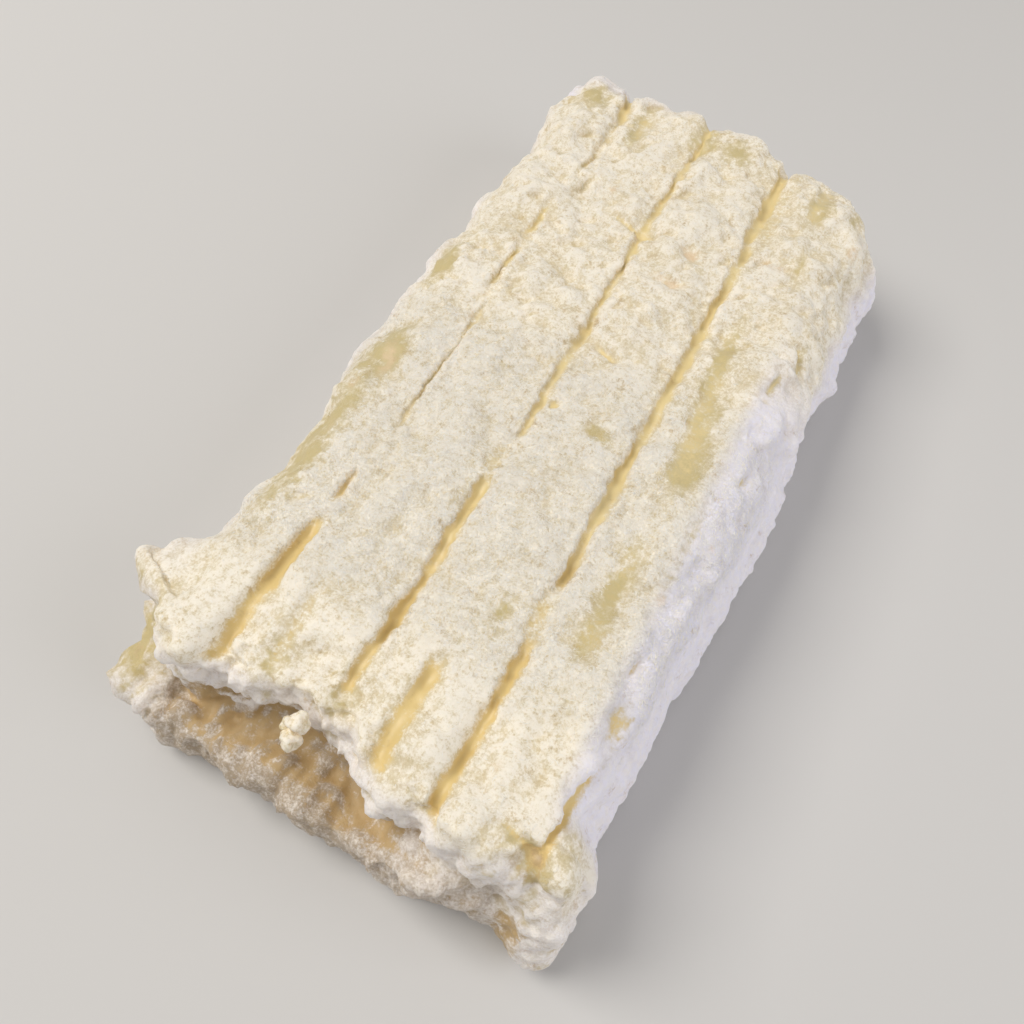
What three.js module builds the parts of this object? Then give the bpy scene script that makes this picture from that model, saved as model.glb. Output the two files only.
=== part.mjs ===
import * as THREE from "three";
import { mergeVertices } from "three/addons/utils/BufferGeometryUtils.js";

// A ripened brick of soft sheep's cheese, in millimetres, lying on its flat underside.
// +Y runs along the rack grooves to the far end, +X to the right of someone at the near end.
// Sizes are taken from the middle groove and mid-length, and the finished solid is then centred.

const HEIGHT = 22.2; // flat underside to the crown of the top
const WIDEST_HEIGHT = 7.4; // level at which the slumped sides bulge furthest
const TOP_LEFT = -19.2; // the flat top gives way to the left shoulder here
const TOP_RIGHT = 22.7; // and to the right shoulder here
const LEFT_SIDE = -28.8; // furthest bulge of the left side
const RIGHT_SIDE = 33.9; // furthest bulge of the right side
const FAR_END = 63.0; // furthest bulge of the far end, on the middle groove
const NEAR_LIP = -55.2; // edge of the top rind at the near end, on the middle groove
const NEAR_LEDGE = -61.4; // front of the lower slab, which stands out past that lip
const END_SKEW = -0.145; // both ends run out of square: Y gained for each X
const FAR_ROUND = 5; // how far the far end is rounded, along Y
const NEAR_ROUND = 5; // and the near end
const CENTRE = { x: 1.58, y: 1.98 }; // middle of the finished outline

// Roundness of the edges: 2 is an ellipse, more is squarer.
const SIDE_SQUARENESS = 2.3;
const LIP_SQUARENESS = 4;
const FOOT_SQUARENESS = 5;
const NEAR_BLEND = 0.6; // share of the turn round the near edge over which it grows crisp
const FOOT_BLEND = { from: -0.9, to: 0.4 }; // turn up from the foot over which it softens

// The flat it rests on: its ends are straight, bow in a little and stop at a raised brim.
const REST_NEAR = -50.2;
const REST_FAR = 58.0;
const REST_BOW = 0.6;
const BRIM_RISE = 0.25;
const BRIM_TURN = 0.1; // share of the turn round the foot by which the brim has risen
const REST_BLEND = { from: -1, to: -0.3 }; // turn up from the foot over which its outline is left
const REST_SIDE = 0.8; // and turn out from its sides
const FOOT_CLEAR = { from: 0.5, to: 3 }; // heights between which relief begins

// Bends of the outline: place along the edge, width, and the shift at its middle.
const LEFT_BENDS = [
  { at: 41, spread: 10, shift: 2.6 },
  { at: -31, spread: 9, shift: 3.2 },
  { at: -58, spread: 9, shift: -0.6 },
];
const RIGHT_BENDS = [
  { at: 32, spread: 9, shift: -0.9 },
  { at: -57, spread: 5, shift: 3.0 },
];
const FAR_BENDS = [{ at: -19, spread: 5, shift: 1.0 }];
const LIP_BENDS = [
  { at: -14, spread: 4, shift: -0.9 },
  { at: -2, spread: 4.5, shift: 1.4 },
  { at: 14, spread: 6, shift: -0.9 },
];
const LEDGE_BENDS = [
  { at: -8, spread: 7, shift: 0.9 },
  { at: 13, spread: 5, shift: -1.0 },
  { at: 22, spread: 5, shift: 1.2 },
];

// Edges that curve away past a point, by the square of the distance.
const RIGHT_TAPER = { from: -20, rate: -0.00095 }; // along -Y
const FAR_CORNER = { from: 20, rate: -0.03 }; // along +X
const LIP_CORNER = { from: -TOP_LEFT, rate: 0.12 }; // along -X
const LEDGE_SKEW = { until: 10, slope: -0.065 };

// The near end: the lower slab's sloping top, and the hollow that runs in under the lip.
const LEDGE_TOP = 11.5;
const LEDGE_FRONT = 7.5;
const RECESS = { height: 12.6, spread: 2.4, depth: 2.6, fadesFrom: 6, fadesTo: 16, left: 0.2 };
const END_FACING = { from: 0.2, to: 0.85 }; // how squarely a point faces the end to be shifted

// Lattice lines: columns across X, rows along Y, courses up Z.
const FLAT_COLUMNS = 26;
const SHOULDER_COLUMNS = 7;
const FLAT_ROWS = 34;
const END_ROWS = 4;
const FOOT_COURSES = 4;
const SHOULDER_COURSES = 6;
const CROWDING = { extra: 1.6, spread: 1.6, samples: 60 }; // columns gather at the main grooves

// Troughs pressed in by the wires of the rack, and lesser runs beside them.
const GROOVES = [
  { x: -14.4, from: -55, to: -27, half: 0.9, depth: 1.8 },
  { x: -14.3, from: -30, to: 30, half: 0.6, depth: 0.8 },
  { x: -14.3, from: 46, to: 66, half: 0.9, depth: 1.6 },
  { x: 0.2, from: -58, to: 66, half: 0.95, depth: 1.7 },
  { x: 14.7, from: -56, to: 66, half: 0.85, depth: 1.8 },
  { x: 14.9, from: 40, to: 66, half: 1.4, depth: 1.3 },
  { x: 26.6, from: -59, to: -30, half: 1.2, depth: 2.2 },
  { x: 20.2, from: -9, to: 23, half: 2.1, depth: 1.0 },
  { x: 20.6, from: -30, to: -6, half: 1.5, depth: 0.4 },
  { x: -8.3, from: -54, to: -39, half: 1.0, depth: 0.9 },
  { x: 6.0, from: -55, to: -43, half: 1.4, depth: 1.2 },
  { x: -10.2, from: 45, to: 58, half: 1.2, depth: 0.8 },
  { x: 21.3, from: 44, to: 58, half: 1.2, depth: 0.8 },
];
const GROOVE_FADE = 4; // length over which a trough runs out
const GROOVE_ZONE = { from: HEIGHT - 9, to: HEIGHT - 3 }; // troughs run out down the shoulders
const GROOVE_FACING = { from: 0.25, to: 0.7 }; // and where the surface turns away from the top
const MAIN_GROOVES = [-14.4, 0.2, 14.7];
const STRIP_CROWN = 0.45; // fall of each strip of the top towards its main grooves
const STRIP_SPREAD = 3.6;
const UNDERSIDE_GROOVES = [-11, 3.2, 17.4];
const UNDERSIDE_GROOVE = { half: 1.0, depth: 0.8, reach: 46 };
const UNDERSIDE_TOP = 0.05; // points lower than this belong to the flat underside

// Rounded hollows (negative) and lumps of curd (positive): centre, radius and height.
const LUMPS = [
  { x: 0.9, y: -50, z: 21, radius: 2.8, height: -1.5 },
  { x: 0.4, y: 53, z: 22, radius: 2.2, height: -1.3 },
  { x: 25.6, y: -58, z: 14, radius: 3.6, height: -1.2 },
  { x: -4, y: -55.5, z: 18.5, radius: 2.2, height: 2.6 },
  { x: -19.5, y: -55, z: 12.5, radius: 3.0, height: 2.2 },
  { x: -11.5, y: -55, z: 12, radius: 2.6, height: 1.6 },
  { x: 16, y: -60, z: 14, radius: 4.5, height: 1.4 },
  { x: 30.5, y: -60, z: 4, radius: 3.4, height: 1.2 },
  { x: -28.5, y: -56, z: 8, radius: 7.0, height: 2.8 },
  { x: -26, y: 21, z: 16, radius: 3.2, height: 1.0 },
];

// A torn tongue of rind, nicked along its edge, stands out from the left shoulder at the near end.
const FLAP = { middle: -44.8, half: 3.4, height: 19.2, thick: 2.0, reach: 5.6, root: 4 };
const FLAP_NICK = { offset: 1.9, half: 0.9, depth: 0.35 };

// Soft swelling of the whole surface: amplitude and wavelength of each set of waves.
const SWELLS = [
  { amplitude: 0.32, wavelength: 19, phase: 1.3 },
  { amplitude: 0.26, wavelength: 8.5, phase: 4.1 },
];
const WAVES = 14;
const GOLDEN_ANGLE = Math.PI * (3 - Math.sqrt(5));

const { smoothstep, lerp } = THREE.MathUtils;
const bell = (value, middle, spread) => Math.exp(-(((value - middle) / spread) ** 2));
const trough = (value, middle, half) => Math.exp(-(Math.abs((value - middle) / half) ** 3));
const between = (value, { from, to }) => smoothstep(value, from, to);
const curveAway = (value, { from, rate }) => rate * Math.max(0, value - from) ** 2;
const bend = (value, bends) =>
  bends.reduce((sum, { at, spread, shift }) => sum + shift * bell(value, at, spread), 0);

// The outline seen from above, edge by edge.
const leftSide = (y) => LEFT_SIDE + bend(y, LEFT_BENDS);
const rightSide = (y) => RIGHT_SIDE + curveAway(-y, RIGHT_TAPER) + bend(y, RIGHT_BENDS);
const farEnd = (x) => FAR_END + END_SKEW * x + curveAway(x, FAR_CORNER) + bend(x, FAR_BENDS);
const nearLip = (x) => NEAR_LIP + END_SKEW * x + curveAway(-x, LIP_CORNER) + bend(x, LIP_BENDS);
const nearLedge = (x) =>
  NEAR_LEDGE + LEDGE_SKEW.slope * Math.min(x, LEDGE_SKEW.until) + bend(x, LEDGE_BENDS);

// How far the ends of the resting flat bow in: nothing at its corners.
function restBow(x) {
  const across = (2 * x - TOP_LEFT - TOP_RIGHT) / (TOP_RIGHT - TOP_LEFT);
  return REST_BOW * Math.max(0, 1 - across ** 2);
}

// Lines from low to high, crowded where the grooves are.
function crowdedLines(low, high, count) {
  const density = (value) =>
    MAIN_GROOVES.reduce((sum, x) => sum + CROWDING.extra * bell(value, x, CROWDING.spread), 1);
  const fine = count * CROWDING.samples;
  const pitch = (high - low) / fine;
  const running = [0];
  for (let i = 0; i < fine; i++) running.push(running[i] + density(low + (i + 0.5) * pitch));
  const lines = [];
  for (let line = 0, i = 0; line <= count; line++) {
    while (i < fine && running[i] < (running[fine] * line) / count) i++;
    lines.push(low + i * pitch);
  }
  return lines;
}

// Place along one lattice axis: how far round the edge (-1 to 1), and the share of the flat part.
function latticePlace(index, roundedLow, flat, roundedHigh) {
  if (index < roundedLow) return { turn: (index - roundedLow) / roundedLow, share: 0 };
  if (index > roundedLow + flat) return { turn: (index - roundedLow - flat) / roundedHigh, share: 1 };
  return { turn: 0, share: flat ? (index - roundedLow) / flat : 0.5 };
}

// The smooth brick: each lattice point is thrown out from a flat core along a rounded direction.
function brickPoint(column, row, course, lines) {
  const across = latticePlace(column, SHOULDER_COLUMNS, FLAT_COLUMNS, SHOULDER_COLUMNS);
  const along = latticePlace(row, END_ROWS, FLAT_ROWS, END_ROWS);
  const up = latticePlace(course, FOOT_COURSES, 0, SHOULDER_COURSES);

  const round = [across, along, up].map(({ turn }) => Math.tan((turn * Math.PI) / 4));
  const crisp = lerp(SIDE_SQUARENESS, LIP_SQUARENESS, smoothstep(-along.turn, 0, NEAR_BLEND));
  const power = lerp(FOOT_SQUARENESS, crisp, between(up.turn, FOOT_BLEND));
  const length = round.reduce((sum, part) => sum + Math.abs(part) ** power, 0) ** (1 / power);
  const [outX, outY, outZ] = round.map((part) => part / length);

  const roughY = lerp(NEAR_LIP, FAR_END, along.share);
  const coreX = lines[Math.round(across.share * FLAT_COLUMNS)];
  const reachX = outX < 0 ? TOP_LEFT - leftSide(roughY) : rightSide(roughY) - TOP_RIGHT;
  const x = coreX + reachX * outX;

  const resting = 1 - between(up.turn, REST_BLEND);
  const straight = resting * (1 - smoothstep(Math.abs(across.turn), 0, REST_SIDE));
  const low = lerp(nearLip(x) + NEAR_ROUND, REST_NEAR + END_SKEW * x + restBow(x), straight);
  const high = lerp(farEnd(x) - FAR_ROUND, REST_FAR + END_SKEW * x - restBow(x), straight);
  const y = lerp(low, high, along.share) + outY * (outY < 0 ? NEAR_ROUND : FAR_ROUND);

  const brim = Math.max(Math.abs(across.turn), Math.abs(along.turn));
  const lift = resting * BRIM_RISE * smoothstep(brim, 0, BRIM_TURN);
  const z = WIDEST_HEIGHT + outZ * (outZ < 0 ? WIDEST_HEIGHT : HEIGHT - WIDEST_HEIGHT) + lift;
  const shift = nearEnd(x, z, low - NEAR_ROUND) * between(-outY, END_FACING);
  return new THREE.Vector3(x, y + shift, z);
}

// Near end, as a shift along Y: the lower slab stands out and a hollow runs in under the lip.
function nearEnd(x, z, lip) {
  const ledge = (nearLedge(x) - lip) * (1 - smoothstep(z, LEDGE_FRONT, LEDGE_TOP));
  const open = lerp(1, RECESS.left, smoothstep(x, RECESS.fadesFrom, RECESS.fadesTo));
  return ledge + RECESS.depth * open * bell(z, RECESS.height, RECESS.spread);
}

// Unit-sized lumps: plane waves whose directions step round by the golden angle.
function swell(point, wavelength, phase) {
  let sum = 0;
  for (let wave = 0; wave < WAVES; wave++) {
    const rise = 1 - (2 * wave + 1) / WAVES;
    const flat = Math.sqrt(1 - rise * rise);
    const turn = wave * GOLDEN_ANGLE;
    const way = point.x * flat * Math.cos(turn) + point.y * flat * Math.sin(turn) + point.z * rise;
    sum += Math.sin((2 * Math.PI * way) / wavelength + phase * (wave + 1) ** 2);
  }
  return sum / Math.sqrt(WAVES / 2);
}

// Height of the surface above the smooth brick, along its outward direction.
function relief(point, out) {
  const upper = between(point.z, GROOVE_ZONE) * between(out.z, GROOVE_FACING);
  let height = 0;
  for (const { x, from, to, half, depth } of GROOVES) {
    const opens = smoothstep(point.y, from, from + GROOVE_FADE);
    const shuts = smoothstep(point.y, to - GROOVE_FADE, to);
    height -= upper * opens * (1 - shuts) * depth * trough(point.x, x, half);
  }
  for (const x of MAIN_GROOVES) height -= upper * STRIP_CROWN * bell(point.x, x, STRIP_SPREAD);
  for (const { x, y, z, radius, height: rise } of LUMPS) {
    height += rise * bell(Math.hypot(point.x - x, point.y - y, point.z - z), 0, radius);
  }
  for (const { amplitude, wavelength, phase } of SWELLS) {
    height += amplitude * swell(point, wavelength, phase);
  }
  return height * between(point.z, FOOT_CLEAR);
}

// Wire marks on the underside, as a rise of the flat it rests on.
function undersideMarks({ x, y, z }) {
  if (z > UNDERSIDE_TOP) return 0;
  const { half, depth, reach } = UNDERSIDE_GROOVE;
  const run = 1 - smoothstep(Math.abs(y), reach - GROOVE_FADE, reach);
  return UNDERSIDE_GROOVES.reduce((sum, groove) => sum + run * depth * trough(x, groove, half), 0);
}

// How far the tongue of rind stands out, along -X.
function flapReach({ x, y, z }) {
  const { middle, half, height, thick, reach, root } = FLAP;
  const nick = 1 - FLAP_NICK.depth * bell(y, middle + FLAP_NICK.offset, FLAP_NICK.half);
  const outline = Math.exp(-(((y - middle) / half) ** 4)) * nick;
  return reach * outline * bell(z, height, thick) * (1 - smoothstep(x, TOP_LEFT - root, TOP_LEFT));
}

function cheeseGeometry() {
  const columns = FLAT_COLUMNS + 2 * SHOULDER_COLUMNS;
  const rows = FLAT_ROWS + 2 * END_ROWS;
  const courses = FOOT_COURSES + SHOULDER_COURSES;
  const box = new THREE.BoxGeometry(columns, rows, courses, columns, rows, courses);
  box.deleteAttribute("normal");
  box.deleteAttribute("uv");
  const solid = mergeVertices(box);
  const lines = crowdedLines(TOP_LEFT, TOP_RIGHT, FLAT_COLUMNS);

  const place = solid.attributes.position;
  const point = new THREE.Vector3();
  for (let i = 0; i < place.count; i++) {
    point.fromBufferAttribute(place, i);
    const column = Math.round(point.x + columns / 2);
    const row = Math.round(point.y + rows / 2);
    const course = Math.round(point.z + courses / 2);
    place.setXYZ(i, ...brickPoint(column, row, course, lines));
  }

  solid.computeVertexNormals();
  const out = new THREE.Vector3();
  for (let i = 0; i < place.count; i++) {
    point.fromBufferAttribute(place, i);
    out.fromBufferAttribute(solid.attributes.normal, i);
    const flap = flapReach(point);
    const rise = undersideMarks(point);
    point.addScaledVector(out, relief(point, out));
    place.setXYZ(i, point.x - flap - CENTRE.x, point.y - CENTRE.y, Math.max(0, point.z + rise));
  }
  solid.deleteAttribute("normal");
  solid.computeVertexNormals();
  return solid;
}

const rind = new THREE.MeshStandardMaterial({ color: 0xe9dfc4, roughness: 0.75, metalness: 0 });
const cheese = new THREE.Mesh(cheeseGeometry(), rind);
cheese.name = "cheese_brick";

const part = new THREE.Group();
part.add(cheese);

export default part;
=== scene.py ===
import itertools
import math

import bpy
import numpy as np
from bpy.props import FloatProperty, FloatVectorProperty, PointerProperty
from mathutils import Matrix, Vector


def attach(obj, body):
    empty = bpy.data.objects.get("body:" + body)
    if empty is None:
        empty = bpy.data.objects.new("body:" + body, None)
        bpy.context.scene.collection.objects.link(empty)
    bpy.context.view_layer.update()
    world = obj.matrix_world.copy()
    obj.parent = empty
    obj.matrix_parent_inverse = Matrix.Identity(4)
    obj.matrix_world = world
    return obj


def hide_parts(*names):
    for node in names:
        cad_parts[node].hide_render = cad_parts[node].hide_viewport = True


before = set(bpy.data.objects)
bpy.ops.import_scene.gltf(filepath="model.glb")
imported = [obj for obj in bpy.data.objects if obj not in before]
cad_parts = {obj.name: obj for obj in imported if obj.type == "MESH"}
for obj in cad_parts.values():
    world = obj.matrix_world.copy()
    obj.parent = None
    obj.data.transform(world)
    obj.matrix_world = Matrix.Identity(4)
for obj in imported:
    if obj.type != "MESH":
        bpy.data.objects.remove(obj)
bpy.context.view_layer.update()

# A ripened brick of soft sheep's cheese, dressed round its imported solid.
# Shapes are worked out in millimetres from the middle groove and mid-length, as the solid was,
# and are then centred and turned into metres.

bl_info = {
    "name": "Ripened cheese brick",
    "version": (1, 0, 0),
    "blender": (4, 5, 0),
    "location": "3D View > Sidebar > Cheese",
    "description": "Builds a bloomy brick of sheep's cheese round its packed solid",
    "category": "Add Mesh",
}

MM = 0.001
BRICK_NODE = "cheese_brick"
BODY = "root"
CENTRE = np.array([1.58, 1.98, 0.0])  # middle of the finished outline

# Roundness of the edges: 2 is an ellipse, more is squarer.
SIDE_SQUARENESS = 2.3
LIP_SQUARENESS = 4
FOOT_SQUARENESS = 5
NEAR_BLEND = (0, 0.6)  # turn round the near edge over which it grows crisp
FOOT_BLEND = (-0.9, 0.4)  # turn up from the foot over which it softens
END_FACING = (0.2, 0.85)  # how squarely a point faces the near end to be shifted

# Limits of the top and of the foot.
TOP_DEPTHS = (9, 3)  # depths below the crown between which the walls give way to the top
TOP_FACING = (0.25, 0.7)  # and how level the surface is there
FOOT_CLEAR = (0.5, 3)  # heights between which relief begins

# Lattice lines: columns across X, rows along Y, courses up Z; the underside keeps every fourth line.
FLAT_COLUMNS, SHOULDER_COLUMNS = 116, 20
FLAT_ROWS, END_ROWS = 272, 16
FOOT_COURSES, SHOULDER_COURSES = 16, 34
UNDER_STEP = 4

# Bends of the outline: place along the edge, width, and the shift at its middle.
LEFT_BENDS = [(41, 10, 2.6), (-31, 9, 3.2), (-58, 9, -0.6)]
RIGHT_BENDS = [(32, 9, -0.9), (-57, 5, 3.0)]
FAR_BENDS = [(-19, 5, 1.0), (-15.3, 0.9, -0.7), (-4, 1.2, 0.8), (-1.4, 1.3, -0.8), (8, 3, 0.6),
             (14.6, 1.4, -1.9)]
LIP_BENDS = [(-20, 5, -1.9), (-8, 4, 1.2), (-3, 4, 2.4), (1.5, 3, 2.1), (8, 4, 0.4), (21, 5, 1.2),
             (27, 4, 3.2)]
LEDGE_BENDS = [(-8, 7, 0.9), (13, 5, -0.3), (22, 5, 1.2)]

# Edges that curve away past a point, by the square of the distance: that point, and the rate.
RIGHT_TAPER = (20, 0.00095)  # along -Y
FAR_CORNER = (20, 0.03)  # along +X
LIP_CORNER = (-1.5, 0.08)  # along -X, with the point counted from the left of the flat top
LEDGE_CORNER = (-23, 0.03)  # along -X
LEDGE_SKEW = (10, -0.065)  # the slab's front runs out of square up to this X, by this slope

# Ripples of the edges: height, length and the salt of their noise.
RIGHT_RIPPLE = (0.5, 4.2, 7)
LIP_RIPPLE = (0.5, 2.6, 5)
LEDGE_RIPPLE = (0.3, 2.2, 6)

# The near end, by its levels: where the slab's front gives way to the lip, then the level, spread and
# height of the hollow under the lip, of the slab's rim and of the gutter between them.
SLAB_LEVELS = (7.5, 11.5)
HOLLOW = (12.6, 2.4, 1.8)
RIM = (8.2, 0.7, 0.9)
GUTTER = (10.3, 1.2, -2.4)
HOLLOW_FOLLOWS = 0.7  # share of the rim's climb that the hollow makes too

# The near end, from left to right: places between which each change happens, and how large it is.
GUTTER_OPENS = (-27, -20)
RIM_CLIMBS, RIM_CLIMB = (2, 16), 5
HOLLOW_CLOSES, HOLLOW_CLOSED = (4, 20), 0.95
RIM_FADES = (14, 18)
CORNER, CORNER_SLOPE = (16, 25), 7

# The brown of the gutter, partly the paste's own colour and partly painted shade under the lip: by share of
# the way from lip to slab, by level, and from left to right.
BROWN_SHADE_BACK = (-0.9, -0.2)
BROWN_SHADE_FRONT, BROWN_SHADE_FRONT_SHIFT = (0.55, 0.95), (0.3, 0.4)  # on the right it ends sooner by the shift
BROWN_SHADE_FLOOR, BROWN_SHADE_RISE = (5, 7), 5  # and starts higher by the rise
BROWN_SHADE_ROOF = (14.5, 17.5)
BROWN_SHADE_STARTS, BROWN_SHADE_CLIMBS, BROWN_SHADE_ENDS = (-25, -18), (2, 20), (8, 20)

# Troughs pressed in by the wires of the rack: x at the near and far end, those ends, half width, depth.
GROOVES = [
    (-16.0, -14.9, -59, -31, 1.0, 1.15),
    (-15.0, -15.0, -32, -23, 0.5, 0.6),
    (-14.2, -14.0, -18, 9, 0.28, 0.5),
    (-15.3, -15.3, 9, 22, 0.42, 0.7),
    (-15.5, -15.5, 21, 32, 0.46, 0.7),
    (-14.9, -14.0, 38, 57, 0.4, 0.5),
    (-13.8, -16.4, 52, 66, 0.8, 0.9),
    (-1.0, -0.1, -51, -16, 0.7, 1.1),
    (-0.8, -0.6, -20, -10, 1.15, 0.4),
    (0.5, -0.5, -12, 36, 0.55, 0.75),
    (-0.6, 0.1, 29, 66, 0.5, 0.8),
    (0.0, 0.0, 51, 66, 1.7, 0.45),
    (13.6, 14.5, -60, -32, 0.7, 1.2),
    (13.6, 13.8, -36, -26, 1.0, 0.5),
    (14.2, 14.6, -29, 40, 0.7, 0.95),
    (14.0, 14.0, 36, 66, 0.8, 1.2),
    (15.6, 15.9, 36, 66, 1.5, 0.35),
    (26.8, 26.8, -42, -35, 0.8, 1.1),
    (25.4, 27.4, -57, -41, 0.45, 1.0),
    (21.2, 18.2, -10, 23, 1.5, 0.45),
    (20.1, 20.1, -35, -15, 1.6, 0.35),
    (-9.4, -9.4, -53, -37, 0.8, 0.4),
    (5.9, 6.6, -58, -40, 1.0, 1.0),
    (-10.4, -10.4, 48, 60, 1.1, 0.5),
    (21.2, 21.2, 43, 58, 1.3, 0.5),
]
TOE = (25.6, 2.2)  # bare, tan facet by the near right foot: its x, and half width
GROOVE_FADE = 4  # length over which a trough runs out
GROOVE_RAGGED = (0.26, 1.5)  # height and size of the noise that frays its edges
GROOVE_FILL, GROOVE_FILL_LIMITS = 0.95, (0.75, 1.1)  # how open it stays: the usual share, least and most
GROOVE_LEFT = 3.6  # power of its steep left side
GROOVE_RIGHT = (1.3, 2.4)  # its easier right side: how much wider, and the power

# Unevenness along a trough: height, length, salt, and how far the noise moves on from trough to trough.
WANDERS = [(0.22, 9, 11, 7.3), (0.12, 2.4, 12, 5.1)]
WIDTH_CHANGE = (0.35, 3.2, 14, 3.7)
FILL_CHANGE = (0.4, 4.5, 17, 9.1)

MAIN_GROOVES = (-14.4, 0.2, 14.7)
CROWDING = (1.8, 1.4)  # columns gather at the main grooves: over this spread, by this much
CROWDING_SAMPLES = 60  # for each column
STRIP_CROWN, STRIP_SPREAD = 0.45, 3.6  # fall of each strip of the top towards its main grooves
UNDERSIDE_GROOVES = (-11, 3.2, 17.4)
UNDERSIDE_GROOVE = (1.6, 0.8)  # half width and depth
UNDERSIDE_RUN = (42, 46)  # distances from mid-length between which they run out
UNDERSIDE_TOP = 0.05  # points lower than this belong to the flat underside

# Torn tongue of rind on the left shoulder.
TONGUE = (-49.4, -38.0, 19.0, 3.9)  # its near and far end, its level and its reach
TONGUE_EASES = (2.4, 5)  # lengths over which it drops off at those ends
TONGUE_THICK = 2.0
TONGUE_ROOT = (19, 24)  # distances to the left between which it is drawn out
TONGUE_RIPPLE = (0.6, 1.7, 23)

# Torn spots of the near right corner: centre, radius and how bare.
BARE_SPOTS = [((25.2, -54.3, 19.5), 1.5, 1.0), ((25.6, -57.0, 15.0), 1.8, 0.5)]

# Rounded hollows (negative) and swellings (positive) of the rind: centre, radius and height.
LUMPS = [
    ((-0.8, -49.5, 21), 2.6, -1.0),
    ((0.4, 53, 22), 2.2, -0.9),
    ((25.2, -54.4, 20.6), 2.2, -1.3),
    ((26.4, -55.9, 18.0), 1.2, -0.7),
    ((24.4, -56.6, 16.4), 1.2, 0.7),
    ((24.8, -59.5, 9), 2.6, -0.7),
    ((28.4, -52.5, 15), 3.0, 1.2),
    ((-28.5, -56, 8), 7.0, 0.9),
    ((-28.2, -48.8, 11.5), 3.6, 2.6),
    ((-28.6, -54.0, 11.2), 2.2, 1.4),
    ((-25.9, -52.8, 12.9), 2.0, 1.6),
    ((-23.2, -54.6, 13.0), 2.0, 1.4),
    ((-28.0, -57.8, 9.6), 2.0, 1.2),
    ((-25.0, -58.0, 9.2), 1.8, 1.2),
    ((-20.2, -57.6, 8.6), 1.9, 1.6),
    ((-12.6, -54.6, 11.2), 1.8, 1.6),
    ((-9.0, -55.2, 11.0), 1.6, 1.4),
    ((-6.4, -58.0, 8.2), 1.6, 1.0),
    ((-26, 17, 18), 3.2, 1.0),
]

# Lobes of the crumb that hangs from the lip: centre, half sizes, and how yellow from 0 to 1.
LOBES = [
    ((-3.8, -54.0, 19.4), (1.4, 1.2, 1.3), 0.2),
    ((-4.0, -55.5, 18.2), (1.1, 1.2, 1.2), 0.4),
    ((-5.1, -54.4, 18.8), (0.7, 0.8, 0.8), 0.6),
]
LOBE_TURNS, LOBE_RINGS = 48, 28  # points round each and over it
LOBE_LUMPS = [(0.5, 1.3), (0.2, 0.6)]  # height and size of the lumps on them

# Cuts and dents in the top: centre, half length, half width, turn from +X in degrees, depth.
DENTS = [
    (-2.2, 31.8, 4.6, 0.6, -14, 0.9),
    (-9.0, 26.0, 2.6, 0.9, -55, 0.5),
    (-7.2, 19.0, 2.6, 0.9, -50, 0.6),
    (-7.0, 14.6, 2.4, 0.6, 20, 0.4),
    (7.6, 30.4, 2.0, 1.1, -50, 0.55),
    (6.6, 23.8, 2.6, 0.9, -10, 0.45),
    (4.4, 7.6, 2.2, 0.6, -20, 0.9),
    (10.4, 8.0, 1.6, 0.9, 70, 0.4),
    (2.0, -3.3, 0.9, 0.8, 30, 1.0),
    (9.8, -5.4, 1.6, 0.9, 0, 0.5),
    (17.2, -19.4, 1.6, 0.8, 20, 0.5),
    (28.4, 20.6, 2.6, 0.6, -70, 1.0),
    (26.8, 14.4, 2.4, 0.6, 80, 0.9),
    (28.4, -2.0, 1.6, 0.5, 80, 0.8),
    (10.2, -32.0, 2.0, 0.7, 80, 0.4),
    (-18.6, -31.0, 2.6, 0.8, 30, 0.6),
    (22.6, 36.0, 2.4, 0.5, 80, 0.6),
    (22.5, -42.0, 2.4, 0.7, -60, 0.5),
    (26.2, -31.4, 1.6, 0.6, 80, 0.8),
    (22.9, -53.6, 2.6, 0.8, -21, 0.8),
]

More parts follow.
